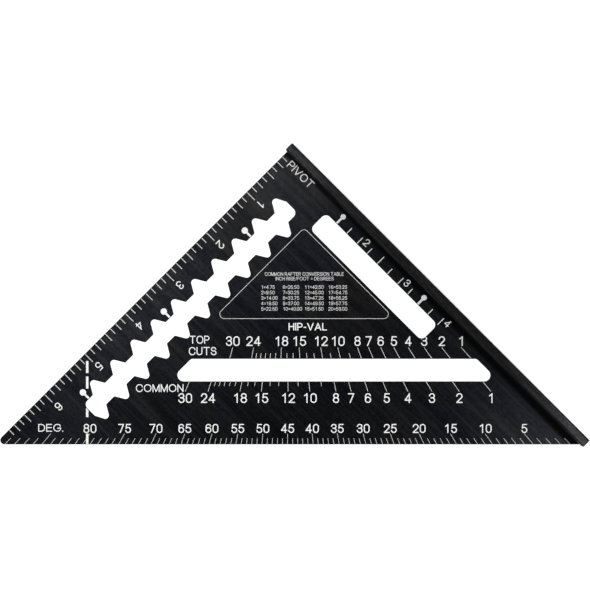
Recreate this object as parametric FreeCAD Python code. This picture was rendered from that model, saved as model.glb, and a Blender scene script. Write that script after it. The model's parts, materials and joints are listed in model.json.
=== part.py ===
"""Speed square (rafter square) for 7 inch work: a triangular aluminium blade standing on a T-shaped fence,
with its white scales as thin print films on the blade's front face.

Everything is drawn on a flat sheet and then stood up in the part's own frame.
On the sheet, in millimetres:
    x  distance from the fence's inner face, along the rule edge
    y  distance from the rule edge, along the fence
    z  out of the blade's front face, towards the reader
The pivot corner, where the rule edge meets the fence, is the sheet's origin.
The long edge is the line x + y = LEG, and "depth" is the distance from the pivot measured square to it.
"across" runs along the long edge, from the rule side to the fence side, and is 0 under the pivot.

The part's own frame: fence face down on Z = 0, origin at the centre of the fence's outer face,
blade upright in the XZ plane, front face towards -Y, pivot corner at the +X end.
"""

import FreeCAD
import Part

import math
import os

INCH = 25.4
ROOT2 = math.sqrt(2)

# Blade
LEG = 7.24 * INCH
LONG_EDGE_DEPTH = LEG / ROOT2
BLADE_THICKNESS = 3 / 16 * INCH
RULE_TIP_RADIUS = 1.9
EDGE_BREAK = 0.25

# Fence
FENCE_THICKNESS = 4.1
FENCE_WIDTH = 7 / 8 * INCH
FENCE_LENGTH = 186.4
FENCE_OVERHANG = 1.0
FENCE_ROUNDING = 0.6
ROOT_RADIUS = 0.7  # of the rib's hollow sides, and the rib's height
TRACE_HEIGHT = 0.1

# Toothed scribing slot: pencil notches every half inch down each side, staggered by a quarter
NOTCH_PITCH = INCH / 2
NOTCH_COUNT = 10
NOTCH_FLANK_ANGLE = 30.5
NOTCH_SHARP_DEPTH = 6.5
NOTCH_TIP_RADIUS = 1.65
NOTCH_SHOULDER_RADIUS = 0.6
FIRST_NOTCH_X = 19.35
NEAR_LAND_Y = 15.5
FAR_LAND_Y = 22.5
TOOTHED_SLOT_START = 16.0
TOOTHED_SLOT_END_RADIUS = 2.4

# Straight slot beside the fence
FENCE_SLOT_X = (0.28 * INCH, 0.675 * INCH)
FENCE_SLOT_Y = (1.24 * INCH, 4.00 * INCH)
FENCE_SLOT_RADIUS = 2.5

# Long slot between the two rafter scales
LONG_SLOT_DEPTH = (3.625 * INCH, 4.018 * INCH)
LONG_SLOT_RULE_GAP = 1.377 * INCH
LONG_SLOT_FENCE_GAP = 0.219 * INCH
LONG_SLOT_ACUTE_RADIUS = 2.75
LONG_SLOT_OBTUSE_RADIUS = 2.0

# Print
FILM = 0.08
SCALE_STROKE = 0.36
FINE_STROKE = 0.18
LETTER_WEIGHT = 0.115
BOLD_WEIGHT = 0.14
LETTER_GAP = 0.13
NUMERAL_STRETCH = 1.02

# Inch rule along the rule edge: tick length for eighths, quarters, halves and whole inches
RULE_TICK_START = 0.3
RULE_TICK_END = {8: 3.2, 4: 3.9, 2: 4.45, 1: 5.1}
RULE_EIGHTHS = 55
RULE_NUMERAL_CAP = 3.8
RULE_NUMERAL_Y = 8.3
RULE_NUMERAL_SHIFT = -0.025 * INCH

# Quarter-inch scale between the fence and its slot
FENCE_TICK_LENGTH = {4: 3.3, 2: 4.4, 1: 3.9}
FENCE_SCALE_QUARTERS = (7, 8, 9, 10, 11, 12, 13, 15, 16)
FENCE_NUMERALS = (2, 3, 4)
FENCE_NUMERAL_CAP = 3.4
FENCE_NUMERAL_X = 0.143 * INCH
FENCE_NUMERAL_SHIFT = 0.11 * INCH
STUD_STEM_WIDTH = 0.9
FENCE_STUD_INCHES = (1.5, 3.5)
FENCE_STUD_RADIUS = 1.2
FENCE_STUD_X = 0.114 * INCH

# Round studs beside the toothed slot
SLOT_STUD_INCHES = (1.5, 3.5, 5.5)
SLOT_STUD_RADIUS = 1.4
SLOT_STUD_Y = 0.454 * INCH

# Degree scale along the long edge
DEGREE_TICK = 2.75
DEGREE_LONG_TICK = 4.75
DEGREE_NUMERAL_LIFT = 5.1
DEGREE_NUMERAL_CAP = 4.0
DEGREE_SHIFT = 0.2  # how far the printed scale sits off true, along the long edge

# Rafter scales: angle whose tangent is rise over run, run in inches
COMMON_RUN = 12.0
HIP_RUN = 16.97
RAFTER_NUMBERED = (1, 2, 3, 4, 5, 6, 7, 8, 10, 12, 15, 18, 24, 30)
RAFTER_PLAIN = (9, 11, 13, 14, 16, 17, 19, 20, 21, 22, 23)
HIP_TICK_TOP = 87.0
HIP_SHORT_TICK_TOP = 89.5
HIP_BASELINE = 86.3
COMMON_TICK_FOOT = 106.5
COMMON_SHORT_TICK_FOOT = 104.1
COMMON_BASELINE = 111.6
COMMON_SHIFT = 0.4
RAFTER_NUMERAL_CAP = 4.3

# Rafter table: a rounded triangular frame round a heading and four columns of five
TABLE_FENCE_GAP = 0.735 * INCH
TABLE_RULE_GAP = 1.154 * INCH
TABLE_FOOT_DEPTH = 2.920 * INCH
TABLE_CORNER_RADIUS = 2.0
TABLE_CAP = 1.55
TABLE_WEIGHT = 0.09
TABLE_FIRST_BASELINE = 60.95
TABLE_ROW_PITCH = 2.42
TABLE_ROWS = 5
TABLE_COLUMNS_ACROSS = (-11.5, -1.85, 7.75, 18.3)
TABLE_STRETCH = 1.05
ANGLE_STEP = 0.25
ROUNDED_UP_RISES = (9, 10, 15)

# Seat-cut line: dashes square to the long edge
SEAT_LINE_ACROSS = -3.493 * INCH
SEAT_LINE_WIDTH = 1.06
SEAT_DASHES = ((93.0, 98.3), (99.9, 105.2), (112.6, 117.9), (125.2, LONG_EDGE_DEPTH))

# Words. Those along the long edge: words, start and end across, depth of the baseline, cap height, weight
LABELS = {
    "degree_label": ("DEG.", -110.45, -99.45, 124.35, 3.4, LETTER_WEIGHT),
    "hip_label": ("HIP-VAL", 0.65, 17.65, 79.45, 3.35, BOLD_WEIGHT),
    "common_label": ("COMMON", -67.1, -46.0, 106.75, 3.45, LETTER_WEIGHT),
    "top_label": ("TOP", -43.25, -34.5, 85.3, 3.5, LETTER_WEIGHT),
    "cuts_label": ("CUTS", -43.6, -31.35, 90.4, 3.6, LETTER_WEIGHT),
}
TABLE_HEADING = (
    ("COMMON RAFTER CONVERSION TABLE", -9.85, 25.15, 55.15, TABLE_CAP, TABLE_WEIGHT),
    ("INCH RISE/FOOT = DEGREES", -5.05, 20.65, 57.2, TABLE_CAP, TABLE_WEIGHT),
)
PIVOT_LABEL_START = 4.3
PIVOT_LABEL_END = 18.7
PIVOT_LABEL_X = 3.0
PIVOT_LABEL_CAP = 3.6

# Lettering angles on the sheet: along the rule, along the fence, and along the long edge
ALONG_RULE = 0
ALONG_FENCE = 90
ALONG_LONG_EDGE = 135

# Plain stroke alphabet. A glyph is its width in cap heights and its strokes; a stroke is a list of corners
# (x, y, rounding), with x and y as shares of the glyph's own width and height. FULL rounds a corner as far
# as it can go, and a stroke that ends where it starts is a closed loop.
FULL = 9.0
DIGIT = 0.52
GLYPHS = {
    "0": (DIGIT, [[(0, 0, FULL), (1, 0, FULL), (1, 1, FULL), (0, 1, FULL), (0, 0, FULL)]]),
    "1": (DIGIT, [[(0.68, 0, 0), (0.68, 1, 0)], [(0.64, 0.95, 0), (0.14, 0.74, 0)]]),
    "2": (DIGIT, [[(0, 0.74, 0), (0, 1, FULL), (1, 1, FULL), (1, 0.6, 0.3), (0, 0, 0), (1, 0, 0)]]),
    "3": (DIGIT, [
        [(0.03, 0.78, 0), (0.03, 1, FULL), (0.95, 1, FULL), (0.95, 0.53, FULL), (0.35, 0.53, 0)],
        [(0.35, 0.53, 0), (1, 0.53, FULL), (1, 0, FULL), (0, 0, FULL), (0, 0.24, 0)],
    ]),
    "4": (0.56, [[(0.72, 0.96, 0), (0, 0.26, 0), (1, 0.26, 0)], [(0.74, 1, 0), (0.74, 0, 0)]]),
    "5": (DIGIT, [
        [(0.94, 1, 0), (0.18, 1, 0), (0.06, 0.48, 0)],
        [(0.2, 0.62, 0), (1, 0.62, FULL), (1, 0, FULL), (0, 0, FULL), (0, 0.24, 0)],
    ]),
    "6": (DIGIT, [
        [(0, 0, FULL), (1, 0, FULL), (1, 0.6, FULL), (0, 0.6, FULL), (0, 0, FULL)],
        [(0.03, 0.36, 0), (0.03, 1, FULL), (0.96, 1, FULL), (0.96, 0.8, 0)],
    ]),
    "7": (DIGIT, [[(0, 1, 0), (1, 1, 0), (0.32, 0, 0)]]),
    "8": (DIGIT, [
        [(0, 0, FULL), (1, 0, FULL), (1, 0.54, FULL), (0, 0.54, FULL), (0, 0, FULL)],
        [(0.06, 0.54, FULL), (0.94, 0.54, FULL), (0.94, 1, FULL), (0.06, 1, FULL), (0.06, 0.54, FULL)],
    ]),
    "9": (DIGIT, [
        [(0, 0.4, FULL), (1, 0.4, FULL), (1, 1, FULL), (0, 1, FULL), (0, 0.4, FULL)],
        [(0.97, 0.64, 0), (0.97, 0, FULL), (0.04, 0, FULL), (0.04, 0.2, 0)],
    ]),
    "A": (0.74, [[(0, 0, 0), (0.5, 1, 0), (1, 0, 0)], [(0.2, 0.3, 0), (0.8, 0.3, 0)]]),
    "B": (0.58, [
        [(0, 0, 0), (0, 1, 0)],
        [(0, 1, 0), (0.92, 1, FULL), (0.92, 0.53, FULL), (0, 0.53, 0)],
        [(0, 0.53, 0), (1, 0.53, FULL), (1, 0, FULL), (0, 0, 0)],
    ]),
    "C": (0.72, [[(1, 0.7, 0), (1, 1, FULL), (0, 1, FULL), (0, 0, FULL), (1, 0, FULL), (1, 0.3, 0)]]),
    "D": (0.66, [[(0, 0, 0), (0, 1, 0), (1, 1, FULL), (1, 0, FULL), (0, 0, 0)]]),
    "E": (0.56, [[(1, 0, 0), (0, 0, 0), (0, 1, 0), (0.97, 1, 0)], [(0, 0.53, 0), (0.92, 0.53, 0)]]),
    "F": (0.52, [[(0, 0, 0), (0, 1, 0), (1, 1, 0)], [(0, 0.5, 0), (0.86, 0.5, 0)]]),
    "G": (0.76, [[(0.97, 0.72, 0), (0.97, 1, FULL), (0, 1, FULL), (0, 0, FULL), (1, 0, FULL),
                  (1, 0.46, 0), (0.56, 0.46, 0)]]),
    "H": (0.62, [[(0, 0, 0), (0, 1, 0)], [(1, 0, 0), (1, 1, 0)], [(0, 0.53, 0), (1, 0.53, 0)]]),
    "I": (0.0, [[(0, 0, 0), (0, 1, 0)]]),
    "L": (0.48, [[(0, 1, 0), (0, 0, 0), (1, 0, 0)]]),
    "M": (0.74, [[(0, 0, 0), (0, 1, 0), (0.5, 0, 0), (1, 1, 0), (1, 0, 0)]]),
    "N": (0.62, [[(0, 0, 0), (0, 1, 0), (1, 0, 0), (1, 1, 0)]]),
    "O": (0.8, [[(0, 0, FULL), (1, 0, FULL), (1, 1, FULL), (0, 1, FULL), (0, 0, FULL)]]),
    "P": (0.58, [[(0, 0, 0), (0, 1, 0)], [(0, 1, 0), (1, 1, FULL), (1, 0.45, FULL), (0, 0.45, 0)]]),
    "R": (0.64, [
        [(0, 0, 0), (0, 1, 0)],
        [(0, 1, 0), (0.94, 1, FULL), (0.94, 0.47, FULL), (0, 0.47, 0)],
        [(0.45, 0.47, 0), (1, 0, 0)],
    ]),
    "S": (0.6, [[(0.95, 0.76, 0), (0.95, 1, FULL), (0.03, 1, FULL), (0.03, 0.53, FULL), (1, 0.53, FULL),
                 (1, 0, FULL), (0, 0, FULL), (0, 0.24, 0)]]),
    "T": (0.68, [[(0, 1, 0), (1, 1, 0)], [(0.5, 1, 0), (0.5, 0, 0)]]),
    "U": (0.62, [[(0, 1, 0), (0, 0, FULL), (1, 0, FULL), (1, 1, 0)]]),
    "V": (0.74, [[(0, 1, 0), (0.5, 0, 0), (1, 1, 0)]]),
    "-": (0.2, [[(0, 0.4, 0), (1, 0.4, 0)]]),
    "=": (0.42, [[(0, 0.3, 0), (1, 0.3, 0)], [(0, 0.64, 0), (1, 0.64, 0)]]),
    ".": (0.0, [[(0, 0, 0), (0, 0.02, 0)]]),
    "/": (0.26, [[(0, 0, 0), (1, 1, 0)]]),
    " ": (0.16, []),
}


# Outlines ----------------------------------------------------------------------------------------


def unit(start, end):
    """Direction from one corner to the next, and the distance between them."""
    dx, dy = end[0] - start[0], end[1] - start[1]
    length = math.hypot(dx, dy)
    return (dx / length, dy / length), length


def fitted_tangents(corners, closed):
    """How far each corner's rounding reaches along its two sides, cut down where neighbours would meet."""
    count = len(corners)
    wanted = []
    for i, (_, _, radius) in enumerate(corners):
        if radius == 0 or (not closed and i in (0, count - 1)):
            wanted.append(0.0)
            continue
        before, _ = unit(corners[i - 1], corners[i])
        after, _ = unit(corners[i], corners[(i + 1) % count])
        turn = math.acos(max(-1.0, min(1.0, before[0] * after[0] + before[1] * after[1])))
        wanted.append(radius * math.tan(turn / 2))
    fitted = list(wanted)
    for i in range(count if closed else count - 1):
        j = (i + 1) % count
        _, side = unit(corners[i], corners[j])
        if wanted[i] + wanted[j] > side:
            smaller = min(wanted[i], wanted[j], side / 2)
            fitted[i] = min(fitted[i], max(smaller, side - wanted[j]))
            fitted[j] = min(fitted[j], max(smaller, side - wanted[i]))
    return fitted


def outline(corners):
    """Closed anticlockwise wire through the corners (x, y, radius), each rounded by its own radius."""
    area = sum(a[0] * b[1] - b[0] * a[1] for a, b in zip(corners, corners[1:] + corners[:1]))
    if area < 0:
        corners = corners[::-1]
    tangents = fitted_tangents(corners, closed=True)
    count = len(corners)
    arcs = []
    for i, (x, y, _) in enumerate(corners):
        before, _ = unit(corners[i - 1], corners[i])
        after, _ = unit(corners[i], corners[(i + 1) % count])
        reach = tangents[i]
        first = FreeCAD.Vector(x - before[0] * reach, y - before[1] * reach, 0)
        last = FreeCAD.Vector(x + after[0] * reach, y + after[1] * reach, 0)
        if reach < 1e-9:
            arcs.append((first, None, last))
            continue
        half_turn = math.acos(max(-1.0, min(1.0, before[0] * after[0] + before[1] * after[1]))) / 2
        inward = FreeCAD.Vector(after[0] - before[0], after[1] - before[1], 0).normalize()
        radius = reach / math.tan(half_turn)
        middle = FreeCAD.Vector(x, y, 0) + inward * (radius / math.cos(half_turn) - radius)
        arcs.append((first, middle, last))
    edges = []
    for i, (first, middle, last) in enumerate(arcs):
        if middle is not None:
            edges.append(Part.Arc(first, middle, last).toShape())
        following = arcs[(i + 1) % count][0]
        if last.distanceToPoint(following) > 1e-6:
            edges.append(Part.LineSegment(last, following).toShape())
    return Part.Wire(edges)


def plate(corners):
    """Flat face inside a rounded outline."""
    return Part.Face(outline(corners))


def side_of_stroke(corners, closed, offset):
    """One side of a stroke: each corner moved out by offset, its rounding grown or shrunk to match."""
    count = len(corners)
    tangents = fitted_tangents(corners, closed)
    moved = []
    for i, (x, y, _) in enumerate(corners):
        has_before = closed or i > 0
        has_after = closed or i < count - 1
        before = unit(corners[i - 1], corners[i])[0] if has_before else None
        after = unit(corners[i], corners[(i + 1) % count])[0] if has_after else None
        before, after = before or after, after or before
        cosine = before[0] * after[0] + before[1] * after[1]
        turn = math.atan2(before[0] * after[1] - before[1] * after[0], cosine)
        normal = (-(before[1] + after[1]), before[0] + after[0])
        stretch = offset * 2 / (normal[0] ** 2 + normal[1] ** 2)
        radius = 0.0
        if tangents[i] > 0:
            inside = offset * turn > 0
            radius = tangents[i] / math.tan(abs(turn) / 2) + (-abs(offset) if inside else abs(offset))
            radius = max(radius, 0.0)
        moved.append((x + normal[0] * stretch, y + normal[1] * stretch, radius))
    return moved


def stroke(corners, width, past_start=0.0, past_end=0.0):
    """Flat face along a line of corners, width wide. An open line can run on past its ends."""
    closed = corners[0][:2] == corners[-1][:2]
    if closed:
        corners = corners[:-1]
        outer = plate(side_of_stroke(corners, True, -width / 2))
        inner = plate(side_of_stroke(corners, True, width / 2))
        ring = outer.cut(inner) if outer.Area > inner.Area else inner.cut(outer)
        return ring.Faces[0]
    corners = list(corners)
    for end, inner, past in ((0, 1, past_start), (-1, -2, past_end)):
        away, _ = unit(corners[inner], corners[end])
        corners[end] = (corners[end][0] + away[0] * past, corners[end][1] + away[1] * past, 0)
    left = side_of_stroke(corners, False, width / 2)
    right = side_of_stroke(corners, False, -width / 2)
    return plate(left + right[::-1])


def line(start, end, width):
    """Flat straight line with square ends."""
    return stroke([(*start, 0), (*end, 0)], width)


# Places on the sheet -----------------------------------------------------------------------------


def at(across, depth):
    """Sheet point from its place along the long edge and its depth below the pivot."""
    return ((depth - across) / ROOT2, (depth + across) / ROOT2)


def on_ray(angle, depth, shift=0.0):
    """Sheet point at a depth on the ray from the pivot that leaves the fence by an angle in degrees.

    shift is how far the whole scale sits off true, along the long edge.
    """
    turn = math.radians(angle)
    across = depth * (math.cos(turn) - math.sin(turn)) / (math.cos(turn) + math.sin(turn))
    return at(across + shift, depth)


def across_of(point):
    """Place of a sheet point along the long edge."""
    return (point[1] - point[0]) / ROOT2


# Lettering ---------------------------------------------------------------------------------------

glyph_faces = {}


def past_end(end, inner, thick):
    """How far a letter's stroke runs on: to the cap line or baseline if slanted, else half its width."""
    slanted = abs(end[0] - inner[0]) > 0.01 and abs(end[1] - inner[1]) > 0.01
    if not slanted:
        return thick / 2
    return thick if end[1] in (0, 1) else 0.0


def glyph(letter, cap, weight, stretch):
    """Faces of one letter with its lower left corner at the origin, and its overall width."""
    key = (letter, cap, weight, stretch)
    if key not in glyph_faces:
        share, strokes = GLYPHS[letter]
        thick = weight * cap
        wide, high = share * cap * stretch, cap - thick
        faces = []
        for corners in strokes:
            path = [(x * wide + thick / 2, y * high + thick / 2, r * high) for x, y, r in corners]
            ends = [past_end(corners[0], corners[1], thick), past_end(corners[-1], corners[-2], thick)]
            faces.append(stroke(path, thick, *ends))
        if faces:
            box = plate([(0, 0, 0), (wide + thick, 0, 0), (wide + thick, cap, 0), (0, cap, 0)])
            whole = faces[0].multiFuse(faces[1:]) if len(faces) > 1 else faces[0]
            faces = whole.common(box).removeSplitter().Faces
        glyph_faces[key] = (faces, wide + thick)
    return glyph_faces[key]


def text_width(words, cap, weight, stretch):
    """Overall width of a line of lettering."""
    gaps = LETTER_GAP * cap * stretch * (len(words) - 1)
    return sum(glyph(letter, cap, weight, stretch)[1] for letter in words) + gaps


def fitted_stretch(words, cap, weight, width):
    """Sideways stretch that gives a line of lettering a set width."""
    narrow = text_width(words, cap, weight, 1.0)
    wider = text_width(words, cap, weight, 2.0)
    return 1.0 + (width - narrow) / (wider - narrow)


def lettering(words, place, cap, angle, weight=LETTER_WEIGHT, stretch=1.0, width=None, align=0.5):
    """Faces of a line of lettering. place is on its baseline: its middle, or its start where align is 0."""
    if width is not None:
        stretch = fitted_stretch(words, cap, weight, width)
    pen = -align * text_width(words, cap, weight, stretch)
    faces = []
    for letter in words:
        shapes, wide = glyph(letter, cap, weight, stretch)
        for shape in shapes:
            copy = shape.copy()
            copy.translate(FreeCAD.Vector(pen, 0, 0))
            copy.rotate(FreeCAD.Vector(0, 0, 0), FreeCAD.Vector(0, 0, 1), angle)
            copy.translate(FreeCAD.Vector(*place, 0))
            faces.append(copy)
        pen += wide + LETTER_GAP * cap * stretch
    return faces


def centred_on(point, cap, angle):
    """Baseline point of a numeral whose middle is at a sheet point."""
    turn = math.radians(angle)
    return (point[0] + math.sin(turn) * cap / 2, point[1] - math.cos(turn) * cap / 2)


# Metal -------------------------------------------------------------------------------------------


def toothed_slot():
    """Scribing slot with half-inch notches down both sides; turned half a turn it is the same."""
    half_mouth = NOTCH_SHARP_DEPTH * math.tan(math.radians(NOTCH_FLANK_ANGLE))
    last_notch = FIRST_NOTCH_X + (NOTCH_COUNT - 1) * NOTCH_PITCH
    turned_x = FIRST_NOTCH_X + last_notch + NOTCH_PITCH / 2
    turned_y = NEAR_LAND_Y + FAR_LAND_Y
    near = [(TOOTHED_SLOT_START, NEAR_LAND_Y, NOTCH_SHOULDER_RADIUS)]
    for n in range(NOTCH_COUNT):
        tip = FIRST_NOTCH_X + n * NOTCH_PITCH
        if n > 0:
            near.append((tip - half_mouth, NEAR_LAND_Y, NOTCH_SHOULDER_RADIUS))
        near.append((tip, NEAR_LAND_Y - NOTCH_SHARP_DEPTH, NOTCH_TIP_RADIUS))
        near.append((tip + half_mouth, NEAR_LAND_Y, NOTCH_SHOULDER_RADIUS))
    near.append((turned_x - TOOTHED_SLOT_START, NEAR_LAND_Y, TOOTHED_SLOT_END_RADIUS))
    far = [(turned_x - x, turned_y - y, radius) for x, y, radius in near]
    return plate(near + far)


def fence_slot():
    """Straight rounded slot beside the fence."""
    (x0, x1), (y0, y1) = FENCE_SLOT_X, FENCE_SLOT_Y
    radius = FENCE_SLOT_RADIUS
    return plate([(x0, y0, radius), (x1, y0, radius), (x1, y1, radius), (x0, y1, radius)])


def long_slot():
    """Slot along the long edge. One end is parallel to the rule edge and the other to the fence."""
    top, foot = (depth * ROOT2 for depth in LONG_SLOT_DEPTH)
    rule, fence = LONG_SLOT_RULE_GAP, LONG_SLOT_FENCE_GAP
    return plate([
        (top - rule, rule, LONG_SLOT_OBTUSE_RADIUS),
        (foot - rule, rule, LONG_SLOT_ACUTE_RADIUS),
        (fence, foot - fence, LONG_SLOT_ACUTE_RADIUS),
        (fence, top - fence, LONG_SLOT_OBTUSE_RADIUS),
    ])


def triangle():
    """Outline of the blade, down to the rib on the fence that it stands on."""
    return plate([(ROOT_RADIUS, 0, 0), (LEG, 0, RULE_TIP_RADIUS), (ROOT_RADIUS, LEG - ROOT_RADIUS, 0)])


def is_face_edge(edge):
    """Is this an edge of the blade's front or back face, away from the fence?"""
    box = edge.BoundBox
    flat = box.ZLength < 1e-6 and (abs(box.ZMax) < 1e-6 or abs(box.ZMax + BLADE_THICKNESS) < 1e-6)
    return flat and box.XMax > ROOT_RADIUS + 1e-6


def make_blade():
    """Triangular blade with its three slots, every edge lightly rounded."""
    sheet = triangle()
    for slot in (toothed_slot(), fence_slot(), long_slot()):
        sheet = sheet.cut(slot)
    solid = sheet.Faces[0].extrude(FreeCAD.Vector(0, 0, -BLADE_THICKNESS)).Solids[0]
    return solid.makeFillet(EDGE_BREAK, [e for e in solid.Edges if is_face_edge(e)])


def foot_rib():
    """Low rib along the fence, as thick as the blade, with hollow sides that run out into the fence. It ends level
    with the rule edge and the long edge."""
    radius, back = ROOT_RADIUS, -BLADE_THICKNESS
    bend = radius * (1 - 1 / ROOT2)

    def corner(x, z):
        return FreeCAD.Vector(x, 0, z)

    section = Part.Wire([
        Part.Arc(corner(0, radius), corner(bend, bend), corner(radius, 0)).toShape(),
        Part.LineSegment(corner(radius, 0), corner(radius, back)).toShape(),
        Part.Arc(corner(radius, back), corner(bend, back - bend), corner(0, back - radius)).toShape(),
        Part.LineSegment(corner(0, back - radius), corner(0, radius)).toShape(),
    ])
    rib = Part.Face(section).extrude(FreeCAD.Vector(0, LEG, 0))
    past_long_edge = plate([(0, LEG, 0), (radius, LEG - radius, 0), (radius, LEG, 0)])
    past_long_edge.translate(FreeCAD.Vector(0, 0, back - radius))
    return rib.cut(past_long_edge.Faces[0].extrude(FreeCAD.Vector(0, 0, 2 * radius - back)))


def rib_trace():
    """What is left of the rib on the fence's two ends, beyond the blade."""
    low = FreeCAD.Vector(0, FENCE_ROUNDING - FENCE_OVERHANG, -BLADE_THICKNESS)
    return Part.makeBox(TRACE_HEIGHT, FENCE_LENGTH - 2 * FENCE_ROUNDING, BLADE_THICKNESS, low)


def make_fence():
    """Flat bar square to the blade, its edges rounded, with the rib that the blade stands on."""
    low = FreeCAD.Vector(-FENCE_THICKNESS, -FENCE_OVERHANG, -BLADE_THICKNESS / 2 - FENCE_WIDTH / 2)
    bar = Part.makeBox(FENCE_THICKNESS, FENCE_LENGTH, FENCE_WIDTH, low)
    return bar.makeFillet(FENCE_ROUNDING, bar.Edges).fuse([foot_rib(), rib_trace()]).removeSplitter()


def printable_face(blade):
    """Flat part of the blade's front face, inside its rounded edges."""
    flat = [f for f in blade.Faces if f.BoundBox.ZLength < 1e-6 and abs(f.BoundBox.ZMax) < 1e-6]
    return max(flat, key=lambda face: face.Area)


# Scales ------------------------------------------------------------------------------------------


def rule_ticks():
    """Eighth-inch ticks along the rule edge."""
    faces = []
    for eighth in range(1, RULE_EIGHTHS + 1):
        part_of_inch = 8 // math.gcd(8, eighth)
        x = eighth * INCH / 8
        faces.append(line((x, RULE_TICK_START), (x, RULE_TICK_END[part_of_inch]), SCALE_STROKE))
    return faces


def rule_numerals():
    """Inch numerals under the rule ticks."""
    faces = []
    for inch in range(1, 7):
        middle = (inch * INCH + RULE_NUMERAL_SHIFT, RULE_NUMERAL_Y)
        place = centred_on(middle, RULE_NUMERAL_CAP, ALONG_RULE)
        faces += lettering(str(inch), place, RULE_NUMERAL_CAP, ALONG_RULE, stretch=NUMERAL_STRETCH)
    return faces


def fence_scale_ticks():
    """Quarter-inch ticks between the fence slot and the fence, as distances from the rule edge."""
    edge = FENCE_SLOT_X[0]
    faces = []
    for quarter in FENCE_SCALE_QUARTERS:
        length = FENCE_TICK_LENGTH[4 // math.gcd(4, quarter)]
        y = quarter * INCH / 4
        faces.append(line((edge, y), (edge - length, y), SCALE_STROKE))
    return faces


def fence_scale_numerals():
    """Inch numerals beside the fence slot."""
    faces = []
    for inch in FENCE_NUMERALS:
        middle = (FENCE_NUMERAL_X, inch * INCH + FENCE_NUMERAL_SHIFT)
        place = centred_on(middle, FENCE_NUMERAL_CAP, ALONG_FENCE)
        faces += lettering(str(inch), place, FENCE_NUMERAL_CAP, ALONG_FENCE, stretch=NUMERAL_STRETCH)
    return faces


def stud(centre, radius, foot):
    """Round dot with a short stem to the edge of a slot."""
    ring = Part.Wire(Part.makeCircle(radius, FreeCAD.Vector(*centre, 0)))
    return Part.Face(ring).fuse(line(centre, foot, STUD_STEM_WIDTH)).removeSplitter().Faces[0]


def fence_scale_studs():
    """Dots on the fence slot at 1 1/2 and 3 1/2 inches."""
    return [
        stud((FENCE_STUD_X, inch * INCH), FENCE_STUD_RADIUS, (FENCE_SLOT_X[0], inch * INCH))
        for inch in FENCE_STUD_INCHES
    ]


def scribing_studs():
    """Dots on the toothed slot at 1 1/2, 3 1/2 and 5 1/2 inches."""
    return [
        stud((inch * INCH, SLOT_STUD_Y), SLOT_STUD_RADIUS, (inch * INCH, NEAR_LAND_Y))
        for inch in SLOT_STUD_INCHES
    ]


def degree_ticks():
    """One tick a degree, each pointing at the pivot and ending at the long edge."""
    seat_line = Part.makeCompound(seat_cut_line())
    faces = []
    for degree in range(1, 90):
        length = DEGREE_TICK if degree % 5 else DEGREE_LONG_TICK
        start = on_ray(degree, LONG_EDGE_DEPTH - length, DEGREE_SHIFT)
        tick = line(start, on_ray(degree, LONG_EDGE_DEPTH, DEGREE_SHIFT), FINE_STROKE)
        faces += tick.cut(seat_line).Faces
    return faces


def degree_numerals():
    """Numerals every five degrees from 5 to 80."""
    faces = []
    for degree in range(5, 85, 5):
        tick_end = on_ray(degree, LONG_EDGE_DEPTH - DEGREE_LONG_TICK, DEGREE_SHIFT)
        place = at(across_of(tick_end), LONG_EDGE_DEPTH - DEGREE_NUMERAL_LIFT)
        faces += lettering(
            str(degree), place, DEGREE_NUMERAL_CAP, ALONG_LONG_EDGE, stretch=NUMERAL_STRETCH
        )
    return faces


def rafter_angle(rise, run):
    """Roof angle in degrees for a rise over a run."""
    return math.degrees(math.atan(rise / run))


def rafter_ticks(run, slot_edge, long_end, short_end, shift=0.0):
    """Ticks of a rafter scale, from the long slot's edge along rays from the pivot."""
    faces = []
    for numbers, end in ((RAFTER_NUMBERED, long_end), (RAFTER_PLAIN, short_end)):
        for rise in numbers:
            angle = rafter_angle(rise, run)
            faces.append(line(on_ray(angle, slot_edge, shift), on_ray(angle, end, shift), FINE_STROKE))
    return faces


def rafter_numerals(run, tick_end, baseline, shift=0.0):
    """Numerals of a rafter scale, each centred on the end of its tick."""
    faces = []
    for rise in RAFTER_NUMBERED:
        place = at(across_of(on_ray(rafter_angle(rise, run), tick_end, shift)), baseline)
        faces += lettering(
            str(rise), place, RAFTER_NUMERAL_CAP, ALONG_LONG_EDGE, stretch=NUMERAL_STRETCH
        )
    return faces


def label(words, start, end, baseline, cap, weight):
    """Word along the long edge, filling the stretch from start to end."""
    place = at((start + end) / 2, baseline)
    return lettering(words, place, cap, ALONG_LONG_EDGE, weight=weight, width=end - start)


def pivot_label():
    """Word beside the fence that marks the pivot corner."""
    middle = (PIVOT_LABEL_X, (PIVOT_LABEL_START + PIVOT_LABEL_END) / 2)
    place = centred_on(middle, PIVOT_LABEL_CAP, ALONG_FENCE)
    width = PIVOT_LABEL_END - PIVOT_LABEL_START
    return lettering("PIVOT", place, PIVOT_LABEL_CAP, ALONG_FENCE, width=width)


def table_frame():
    """Rounded triangle round the rafter table."""
    fence, rule, foot = TABLE_FENCE_GAP, TABLE_RULE_GAP, TABLE_FOOT_DEPTH * ROOT2
    corners = [(fence, rule), (foot - rule, rule), (fence, foot - fence), (fence, rule)]
    return [stroke([(x, y, TABLE_CORNER_RADIUS) for x, y in corners], FINE_STROKE)]


def table_heading():
    """Two-line heading of the rafter table."""
    return [face for words in TABLE_HEADING for face in label(*words)]


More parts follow.
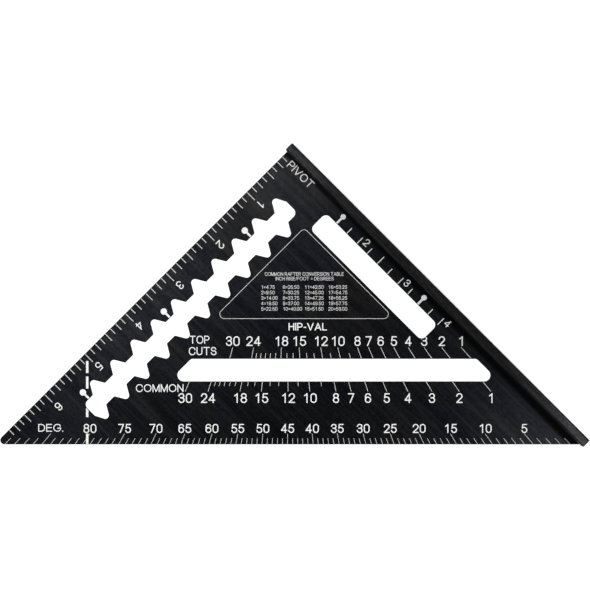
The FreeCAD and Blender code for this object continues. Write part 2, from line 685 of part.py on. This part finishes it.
def table_column(column):
    """Five rows of rise = angle, to the nearest quarter degree, or for a few rises to the next one up."""
    faces = []
    for row in range(TABLE_ROWS):
        rise = column * TABLE_ROWS + row + 1
        steps = rafter_angle(rise, COMMON_RUN) / ANGLE_STEP
        angle = ANGLE_STEP * (math.ceil(steps) if rise in ROUNDED_UP_RISES else round(steps))
        words = f"{rise}={angle:.2f}"
        place = at(TABLE_COLUMNS_ACROSS[column], TABLE_FIRST_BASELINE + row * TABLE_ROW_PITCH)
        faces += lettering(words, place, TABLE_CAP, ALONG_LONG_EDGE, TABLE_WEIGHT, TABLE_STRETCH, align=0)
    return faces


def seat_cut_line():
    """Dashed line square to the long edge."""
    return [
        line(at(SEAT_LINE_ACROSS, start), at(SEAT_LINE_ACROSS, end), SEAT_LINE_WIDTH)
        for start, end in SEAT_DASHES
    ]


def make_print(faces, area):
    """Print film: the part of the faces that lies on the printable area, a film thick."""
    solids = []
    for face in faces:
        for piece in face.common(area).Faces:
            solids += piece.extrude(FreeCAD.Vector(0, 0, FILM)).Solids
    return Part.makeCompound(solids)


def stand_up(shape):
    """Moves a shape from the sheet to the part's own frame."""
    pivot = FreeCAD.Vector(FENCE_LENGTH / 2 - FENCE_OVERHANG, -BLADE_THICKNESS / 2, FENCE_THICKNESS)
    turn = FreeCAD.Matrix(
        0, -1, 0, pivot.x,
        0, 0, -1, pivot.y,
        1, 0, 0, pivot.z,
        0, 0, 0, 1,
    )
    placed = shape.copy()
    placed.Placement = FreeCAD.Placement(turn)
    return placed


def main():
    """Writes one STEP file per piece."""
    os.makedirs("parts", exist_ok=True)
    blade = make_blade()
    area = printable_face(blade)
    hip_edge, common_edge = LONG_SLOT_DEPTH
    prints = {
        "rule_ticks": rule_ticks(),
        "rule_numerals": rule_numerals(),
        "fence_scale_ticks": fence_scale_ticks(),
        "fence_scale_numerals": fence_scale_numerals(),
        "fence_scale_studs": fence_scale_studs(),
        "scribing_studs": scribing_studs(),
        "pivot_label": pivot_label(),
        "degree_ticks": degree_ticks(),
        "degree_numerals": degree_numerals(),
        "hip_ticks": rafter_ticks(HIP_RUN, hip_edge, HIP_TICK_TOP, HIP_SHORT_TICK_TOP),
        "hip_numerals": rafter_numerals(HIP_RUN, HIP_TICK_TOP, HIP_BASELINE),
        "common_ticks": rafter_ticks(
            COMMON_RUN, common_edge, COMMON_TICK_FOOT, COMMON_SHORT_TICK_FOOT, COMMON_SHIFT
        ),
        "common_numerals": rafter_numerals(COMMON_RUN, COMMON_TICK_FOOT, COMMON_BASELINE, COMMON_SHIFT),
        "table_frame": table_frame(),
        "table_heading": table_heading(),
        "seat_cut_line": seat_cut_line(),
    }
    prints.update({name: label(*words) for name, words in LABELS.items()})
    for column in range(len(TABLE_COLUMNS_ACROSS)):
        prints[f"table_column_{column + 1}"] = table_column(column)
    pieces = {"blade": blade, "fence": make_fence()}
    pieces.update({name: make_print(faces, area) for name, faces in prints.items()})
    for name, shape in pieces.items():
        stand_up(shape).exportStep(f"parts/{name}.step")


main()
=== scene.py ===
"""Looks of the speed square: brushed black anodised aluminium with white scale marks, on a pale studio floor.

The frame is in metres: +X along the fence to the pivot corner, +Z up the rule edge, -Y out of the blade's
printed face. Every shape comes from the CAD frame. This script adds materials, floor, lights and camera.
"""

import json
import math

import bpy
from mathutils import Matrix, Vector


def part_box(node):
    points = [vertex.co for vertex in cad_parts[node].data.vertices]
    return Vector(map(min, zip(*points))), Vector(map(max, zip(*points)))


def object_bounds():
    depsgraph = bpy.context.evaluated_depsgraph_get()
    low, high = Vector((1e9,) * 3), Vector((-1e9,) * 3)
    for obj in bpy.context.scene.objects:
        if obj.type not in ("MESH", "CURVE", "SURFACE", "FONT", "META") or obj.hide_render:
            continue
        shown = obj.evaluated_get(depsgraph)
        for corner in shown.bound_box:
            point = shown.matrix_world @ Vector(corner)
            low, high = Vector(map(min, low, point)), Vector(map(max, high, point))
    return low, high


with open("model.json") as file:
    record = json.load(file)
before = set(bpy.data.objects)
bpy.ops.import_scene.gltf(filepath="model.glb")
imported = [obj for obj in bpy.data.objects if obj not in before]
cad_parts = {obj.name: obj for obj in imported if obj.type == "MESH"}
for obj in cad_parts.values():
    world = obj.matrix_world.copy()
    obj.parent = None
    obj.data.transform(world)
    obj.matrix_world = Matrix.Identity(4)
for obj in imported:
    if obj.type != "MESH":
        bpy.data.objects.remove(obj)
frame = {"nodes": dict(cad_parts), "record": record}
cad_low, cad_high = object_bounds()

WHITE = (1.0, 1.0, 1.0)

# Camera: square on to the blade, from far off, rolled so that the long edge lies level along the bottom
VIEW_DISTANCE = 3.0
VIEW_WIDTH = 0.2619
VIEW_CENTRE_X = 0.04468
VIEW_CENTRE_Z = 0.04666
SENSOR = 36.0
CLIP_END = 200.0

# Floor, just under the fence
FLOOR_HALF = 60.0
FLOOR_GAP = 0.0001
FLOOR_COLOUR = (0.86, 0.86, 0.86)
FLOOR_GLOW = 0.12

# Surroundings: as the camera sees them, and the light they give in front of the blade and elsewhere
BACKDROP_STRENGTH = 1.25
FRONT_AMBIENT = 0.06
AMBIENT = 1.0
FRONT_SPREAD = (-0.86, -0.58)

# Broad soft top light
SUN_PLACE = (0.4, -0.5, 1.4)
SUN_STRENGTH = 1.0
SUN_SOFTNESS = math.radians(50)

# Softboxes in front of the blade, facing it: name, x, z, width, height, radiance and colour
SOFTBOX_Y = -0.3
SOFTBOXES = (
    ("pivot_light", 0.093, 0.012, 0.03, 0.02, 12.0, WHITE),
    ("rule_side_light", 0.098, 0.105, 0.03, 0.10, 4.0, WHITE),
    ("far_end_light", -0.108, 0.014, 0.035, 0.026, 13.0, WHITE),
    ("rule_tip_light", 0.088, 0.188, 0.045, 0.03, 1.9, (0.62, 0.8, 1.0)),
)

# Brush marks and dye patches of the metal, in features per metre along X, Y and Z
HAIR = {"per_metre": (45.0, 4200.0, 4200.0), "detail": 3.0, "roughness": 0.6}
STREAK = {"per_metre": (14.0, 800.0, 800.0), "detail": 3.0, "roughness": 0.6, "offset": (3.1, 1.7, 0.4)}
BAND = {"per_metre": (2.5, 130.0, 130.0), "detail": 2.0, "offset": (7.7, 2.2, 5.9)}
SWATHE = {"per_metre": (24.0, 300.0, 300.0), "detail": 2.0, "roughness": 0.55, "offset": (9.3, 3.6, 1.1)}
MOTTLE = {"per_metre": (700.0, 900.0, 900.0), "detail": 3.0, "roughness": 0.65, "offset": (6.3, 0.8, 3.7)}
PATCH = {"per_metre": (22.0, 26.0, 26.0), "detail": 3.0, "roughness": 0.55, "offset": (1.3, 4.2, 9.1)}
CLOUD = {"per_metre": (7.0, 7.0, 7.0), "detail": 1.0, "offset": (5.2, 8.4, 2.6)}
EDGE_PATCHINESS = {"per_metre": (60.0, 400.0, 60.0), "detail": 4.0, "roughness": 0.65, "offset": (2.0, 6.0, 4.0)}
HAIR_SHARE = 0.35
STREAK_SHARE = 0.4
BAND_SHARE = 0.25
BRUSH_HEIGHT = 0.00004
BRUSH_BUMP = 0.35

# Dye of the metal: dark, cool and warm patches, and the paler brush marks
BLADE_DYE = {
    "dark": (0.0036, 0.0041, 0.0063),
    "cool": (0.0056, 0.0069, 0.0118),
    "warm": (0.0094, 0.0093, 0.0090),
    "worn": (0.0225, 0.0228, 0.0240),
}
FENCE_DYE = {
    "dark": (0.0055, 0.0057, 0.0070),
    "cool": (0.0080, 0.0088, 0.0115),
    "warm": (0.0150, 0.0145, 0.0135),
    "worn": (0.0420, 0.0410, 0.0395),
}
# Paler colour of the rounded edges: partly rubbed-thin wear, partly a painted highlight
EDGE_WEAR_AND_HIGHLIGHT = (0.11, 0.11, 0.115)
EDGE_SHARE = 0.55
# Painted shade: near-black colour for the corner between blade and fence, where shade falls
CORNER_PAINTED_SHADE = (0.0030, 0.0030, 0.0033)

# Roughness of the metal where it is smoothest, and how much rougher its brushing and its dull parts are
BLADE_POLISH = 0.22
FENCE_POLISH = 0.165
BRUSHED_ROUGHER = 0.08
PATCH_SMOOTHER = 0.03
DULL_ROUGHER = 0.25
LEVEL_DULLNESS = 0.6

# Painted shade in the corner between blade and fence: the metal is painted near black and duller there.
# It starts just under the fence's inner face and is wider on the blade towards the fence's far end.
# The lip of the inner face has the painted shade too.
FENCE_TOP = 0.0041
CORNER_RISE = 0.0008
CORNER_FROM_X = 0.08
CORNER_TO_X = -0.02
CORNER_NEAR_PIVOT = 0.0013
CORNER_FAR = 0.0034
CORNER_FADE = 0.0012
CORNER_ON_FENCE = (0.0032, 0.0050)
FENCE_LIP = (0.0100, 0.0106)

# Coats of the white marks: full colour, and colour where the coat is thin
WHITE_COAT = ((0.97, 0.97, 0.96), (0.78, 0.78, 0.77))
FINE_COAT = ((0.88, 0.88, 0.87), (0.62, 0.62, 0.62))
FAINT_COAT = ((0.66, 0.66, 0.65), (0.48, 0.48, 0.47))
FAINT_NODES = ("degree_ticks", "rule_ticks")
SPECK = {"per_metre": (2600.0, 2600.0, 2600.0), "detail": 2.0, "roughness": 0.6}
WASH = {"per_metre": (60.0, 60.0, 60.0), "detail": 2.0, "offset": (4.4, 0.3, 2.9)}
SPECK_SHARE = 0.4
WASH_SHARE = 0.2
SPECK_HEIGHT = 0.00002
SPECK_BUMP = 0.25


# Node helpers ------------------------------------------------------------------------------------


class Nodes:
    """A material's node tree, with short calls that add and join its nodes."""

    def __init__(self, name):
        self.material = bpy.data.materials.new(name)
        self.material.use_nodes = True
        self.tree = self.material.node_tree
        self.shader = self.tree.nodes["Principled BSDF"]
        self.place = self.add("ShaderNodeTexCoord").outputs["Object"]
        self.normal = self.add("ShaderNodeNewGeometry").outputs["Normal"]

    def add(self, kind, **settings):
        """New node with its properties set."""
        node = self.tree.nodes.new(kind)
        for key, value in settings.items():
            setattr(node, key, value)
        return node

    def feed(self, socket, value):
        """Joins an output to a socket, or sets the socket to a plain value."""
        if isinstance(value, bpy.types.NodeSocket):
            self.tree.links.new(value, socket)
        else:
            socket.default_value = value

    def calculate(self, operation, *values, clamp=False):
        """Math node's output."""
        node = self.add("ShaderNodeMath", operation=operation, use_clamp=clamp)
        for socket, value in zip(node.inputs, values):
            self.feed(socket, value)
        return node.outputs[0]

    def split(self, vector):
        """Outputs X, Y and Z of a vector."""
        node = self.add("ShaderNodeSeparateXYZ")
        self.feed(node.inputs[0], vector)
        return node.outputs

    def ramp(self, value, low, high, out_low=0.0, out_high=1.0):
        """Value from low to high, eased to the range out_low to out_high."""
        node = self.add("ShaderNodeMapRange", interpolation_type="SMOOTHSTEP")
        for socket, given in zip(node.inputs, (value, low, high, out_low, out_high)):
            self.feed(socket, given)
        return node.outputs[0]

    def mix(self, share, first, second):
        """Blend of two colours."""
        node = self.add("ShaderNodeMix", data_type="RGBA")
        self.feed(node.inputs["Factor"], share)
        self.feed(node.inputs[6], first)
        self.feed(node.inputs[7], second)
        return node.outputs[2]

    def noise(self, per_metre, detail, roughness=0.5, offset=(0.0, 0.0, 0.0)):
        """Noise with its own number of features per metre along X, Y and Z."""
        mapping = self.add("ShaderNodeMapping")
        self.feed(mapping.inputs["Vector"], self.place)
        self.feed(mapping.inputs["Location"], offset)
        self.feed(mapping.inputs["Scale"], per_metre)
        node = self.add("ShaderNodeTexNoise")
        self.feed(node.inputs["Vector"], mapping.outputs["Vector"])
        self.feed(node.inputs["Scale"], 1.0)
        self.feed(node.inputs["Detail"], detail)
        self.feed(node.inputs["Roughness"], roughness)
        return node.outputs["Fac"]

    def bump(self, height, distance, strength):
        """Bends the shader's normal by a height."""
        node = self.add("ShaderNodeBump")
        self.feed(node.inputs["Height"], height)
        self.feed(node.inputs["Distance"], distance)
        self.feed(node.inputs["Strength"], strength)
        self.feed(self.shader.inputs["Normal"], node.outputs["Normal"])


# Materials ---------------------------------------------------------------------------------------


def brushed_dye(m, grain, patch, dark, cool, warm, worn):
    """Colour of the brushed metal: dye patches under mottling, fine brush marks and broad dark swathes."""
    dye = m.mix(m.ramp(patch, 0.38, 0.62), (*cool, 1.0), (*warm, 1.0))
    dye = m.mix(m.ramp(m.noise(**CLOUD), 0.35, 0.65, 0.0, 0.45), dye, (*dark, 1.0))
    dye = m.mix(m.ramp(m.noise(**MOTTLE), 0.4, 0.66, 0.0, 0.45), dye, (*worn, 1.0))
    dye = m.mix(m.ramp(grain, 0.44, 0.62, 0.0, 0.7), dye, (*worn, 1.0))
    return m.mix(m.ramp(m.noise(**SWATHE), 0.42, 0.62, 0.0, 0.48), dye, (*dark, 1.0))


def edge_wear_and_highlight(m):
    """Share of paler colour on the rounded edges: partly rubbed-thin wear, partly a painted highlight."""
    across = m.calculate("ABSOLUTE", m.split(m.normal)["Y"])
    rounding = m.calculate("MULTIPLY", across, m.calculate("SUBTRACT", 1.0, across))
    patchy = m.ramp(m.noise(**EDGE_PATCHINESS), 0.45, 0.7)
    edge = m.calculate("MULTIPLY", m.ramp(rounding, 0.05, 0.22), patchy, clamp=True)
    return m.calculate("MULTIPLY", edge, EDGE_SHARE)


def painted_corner_shade(m):
    """Painted shade: 1 in the corner of blade and fence and on the lip of the fence's inner face, else 0."""
    place = m.split(m.place)
    width = m.ramp(place["X"], CORNER_TO_X, CORNER_FROM_X, CORNER_FAR, CORNER_NEAR_PIVOT)
    reach = m.calculate("SUBTRACT", place["Z"], m.calculate("ADD", width, FENCE_TOP))
    low_on_blade = m.ramp(reach, -CORNER_FADE, CORNER_FADE, 1.0, 0.0)
    above_fence = m.ramp(place["Z"], FENCE_TOP - CORNER_RISE, FENCE_TOP)
    aside = m.calculate("ABSOLUTE", place["Y"])
    near_blade = m.ramp(aside, *CORNER_ON_FENCE, 1.0, 0.0)
    across_fence = m.calculate("MAXIMUM", near_blade, m.ramp(aside, *FENCE_LIP))
    corner = m.calculate("MULTIPLY", low_on_blade, above_fence)
    return m.calculate("MULTIPLY", corner, across_fence, clamp=True)


def anodised(name, dye, polish):
    """Black anodised aluminium, brushed along X, with painted shade in the corner of blade and fence:
    blacker, duller.
    """
    m = Nodes(name)
    band = m.calculate("MULTIPLY", m.noise(**BAND), BAND_SHARE)
    streak = m.calculate("MULTIPLY_ADD", m.noise(**STREAK), STREAK_SHARE, band)
    grain = m.calculate("MULTIPLY_ADD", m.noise(**HAIR), HAIR_SHARE, streak)
    patch = m.noise(**PATCH)
    # Mask of the painted shade in the corner between blade and fence; it also makes that corner duller
    corner = painted_corner_shade(m)

    # Paler rounded edges: partly rubbed-thin wear, partly a painted highlight
    colour = m.mix(edge_wear_and_highlight(m), brushed_dye(m, grain, patch, **dye), (*EDGE_WEAR_AND_HIGHLIGHT, 1.0))
    # Painted shade: the corner between blade and fence is blended to near black
    m.feed(m.shader.inputs["Base Color"], m.mix(corner, colour, (*CORNER_PAINTED_SHADE, 1.0)))
    m.feed(m.shader.inputs["Metallic"], 0.9)
    m.feed(m.shader.inputs["Specular IOR Level"], 0.1)

    roughness = m.ramp(grain, 0.35, 0.65, polish, polish + BRUSHED_ROUGHER)
    roughness = m.calculate("SUBTRACT", roughness, m.ramp(patch, 0.35, 0.65, 0.0, PATCH_SMOOTHER))
    upward = m.calculate("ABSOLUTE", m.split(m.normal)["Z"])
    dull = m.calculate("MAXIMUM", corner, m.ramp(upward, 0.6, 1.0, 0.0, LEVEL_DULLNESS))
    m.feed(m.shader.inputs["Roughness"], m.calculate("MULTIPLY_ADD", dull, DULL_ROUGHER, roughness))
    m.bump(grain, BRUSH_HEIGHT, BRUSH_BUMP)
    return m.material


def printed(name, colour, thin):
    """White scale marking: a slightly uneven, faintly grainy coat that lets a little black through."""
    m = Nodes(name)
    speck = m.noise(**SPECK)
    specks = m.calculate("MULTIPLY", m.ramp(speck, 0.62, 0.8), SPECK_SHARE)
    washed = m.ramp(m.noise(**WASH), 0.5, 0.75, 0.0, WASH_SHARE)
    thinness = m.calculate("ADD", specks, washed, clamp=True)
    m.feed(m.shader.inputs["Base Color"], m.mix(thinness, (*colour, 1.0), (*thin, 1.0)))
    m.feed(m.shader.inputs["Roughness"], m.ramp(speck, 0.3, 0.7, 0.5, 0.66))
    m.feed(m.shader.inputs["Specular IOR Level"], 0.35)
    m.bump(speck, SPECK_HEIGHT, SPECK_BUMP)
    return m.material


def floor_finish():
    """Plain pale matt floor, a little brighter to look at than the light it gives."""
    m = Nodes("studio_floor")
    m.feed(m.shader.inputs["Base Color"], (*FLOOR_COLOUR, 1.0))
    m.feed(m.shader.inputs["Roughness"], 0.9)
    m.feed(m.shader.inputs["Specular IOR Level"], 0.1)
    m.feed(m.shader.inputs["Emission Color"], (*WHITE, 1.0))
    seen = m.add("ShaderNodeLightPath").outputs["Is Camera Ray"]
    m.feed(m.shader.inputs["Emission Strength"], m.calculate("MULTIPLY", seen, FLOOR_GLOW))
    return m.material


def dress(node, material):
    """Gives a CAD node its material."""
    slots = frame["nodes"][node].data.materials
    slots.clear()
    slots.append(material)


def dress_all():
    """Dresses the two metal parts, and each mark in the coat of its slot in the record or the faint coat."""
    coats = {
        "white_print": printed("white_print", *WHITE_COAT),
        "fine_print": printed("fine_print", *FINE_COAT),
    }
    for entry in frame["record"]["subparts"]:
        if entry["material_slot"] in coats:
            dress(entry["node"], coats[entry["material_slot"]])
    faint = printed("faint_print", *FAINT_COAT)
    for node in FAINT_NODES:
        dress(node, faint)
    dress("blade", anodised("black_anodised_blade", BLADE_DYE, BLADE_POLISH))
    dress("fence", anodised("black_anodised_fence", FENCE_DYE, FENCE_POLISH))


# Stage, light and camera -------------------------------------------------------------------------


def add_object(name, data):
    """New object in the scene."""
    thing = bpy.data.objects.new(name, data)
    bpy.context.scene.collection.objects.link(thing)
    return thing


def make_floor():
    """Wide level floor that the fence stands on."""
    height = cad_low.z - FLOOR_GAP
    corners = [(x * FLOOR_HALF, y * FLOOR_HALF, height) for x, y in ((-1, -1), (1, -1), (1, 1), (-1, 1))]
    mesh = bpy.data.meshes.new("floor")
    mesh.from_pydata(corners, [], [(0, 1, 2, 3)])
    mesh.materials.append(floor_finish())
    floor = add_object("floor", mesh)


def make_world():
    """White surroundings that give little light from in front of the blade, and look white to the camera."""
    world = bpy.data.worlds.new("studio")
    world.use_nodes = True
    tree = world.node_tree
    background = tree.nodes["Background"]
    background.inputs["Color"].default_value = (*WHITE, 1.0)
    split = tree.nodes.new("ShaderNodeSeparateXYZ")
    tree.links.new(tree.nodes.new("ShaderNodeTexCoord").outputs["Generated"], split.inputs[0])
    ambient = tree.nodes.new("ShaderNodeMapRange")
    ambient.interpolation_type = "SMOOTHSTEP"
    tree.links.new(split.outputs["Y"], ambient.inputs["Value"])
    for socket, value in zip(ambient.inputs[1:5], (*FRONT_SPREAD, FRONT_AMBIENT, AMBIENT)):
        socket.default_value = value
    path = tree.nodes.new("ShaderNodeLightPath")
    strength = tree.nodes.new("ShaderNodeMapRange")
    tree.links.new(path.outputs["Is Camera Ray"], strength.inputs["Value"])
    tree.links.new(ambient.outputs[0], strength.inputs["To Min"])
    strength.inputs["To Max"].default_value = BACKDROP_STRENGTH
    tree.links.new(strength.outputs[0], background.inputs["Strength"])
    bpy.context.scene.world = world


def aim(lamp, target):
    """Turns a lamp to face a point."""
    lamp.rotation_mode = "QUATERNION"
    lamp.rotation_quaternion = (Vector(target) - lamp.location).to_track_quat("-Z", "Y")


def make_sun():
    """Broad soft top light that whitens the floor evenly."""
    data = bpy.data.lights.new("top_light", "SUN")
    data.energy = SUN_STRENGTH
    data.angle = SUN_SOFTNESS
    sun = add_object("top_light", data)
    sun.location = SUN_PLACE
    aim(sun, (0.0, 0.0, 0.0))


def make_softbox(name, x, z, width, height, radiance, colour):
    """Rectangular area lamp of a given radiance, square on to the blade and unseen by the camera."""
    data = bpy.data.lights.new(name, "AREA")
    data.shape = "RECTANGLE"
    data.size = width
    data.size_y = height
    data.energy = radiance * math.pi * width * height
    data.color = colour
    lamp = add_object(name, data)
    lamp.location = (x, SOFTBOX_Y, z)
    lamp.visible_camera = False
    aim(lamp, (x, 0.0, z))


def make_camera():
    """Camera square on to the printed face."""
    data = bpy.data.cameras.new("camera")
    data.sensor_width = SENSOR
    data.lens = SENSOR * VIEW_DISTANCE / VIEW_WIDTH
    data.clip_end = CLIP_END
    camera = add_object("camera", data)
    face_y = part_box("blade")[0].y
    up = Vector((1.0, 0.0, -1.0)).normalized()
    back = Vector((0.0, -1.0, 0.0))
    right = up.cross(back)
    place = Vector((VIEW_CENTRE_X, face_y - VIEW_DISTANCE, VIEW_CENTRE_Z))
    turn = Matrix((right, up, back)).transposed().to_4x4()
    camera.matrix_world = Matrix.Translation(place) @ turn
    bpy.context.scene.camera = camera


def main():
    """Dresses the frame, then sets the stage."""
    dress_all()
    make_floor()
    make_world()
    make_sun()
    for softbox in SOFTBOXES:
        make_softbox(*softbox)
    make_camera()
    bpy.context.scene.view_settings.view_transform = "Standard"


main()
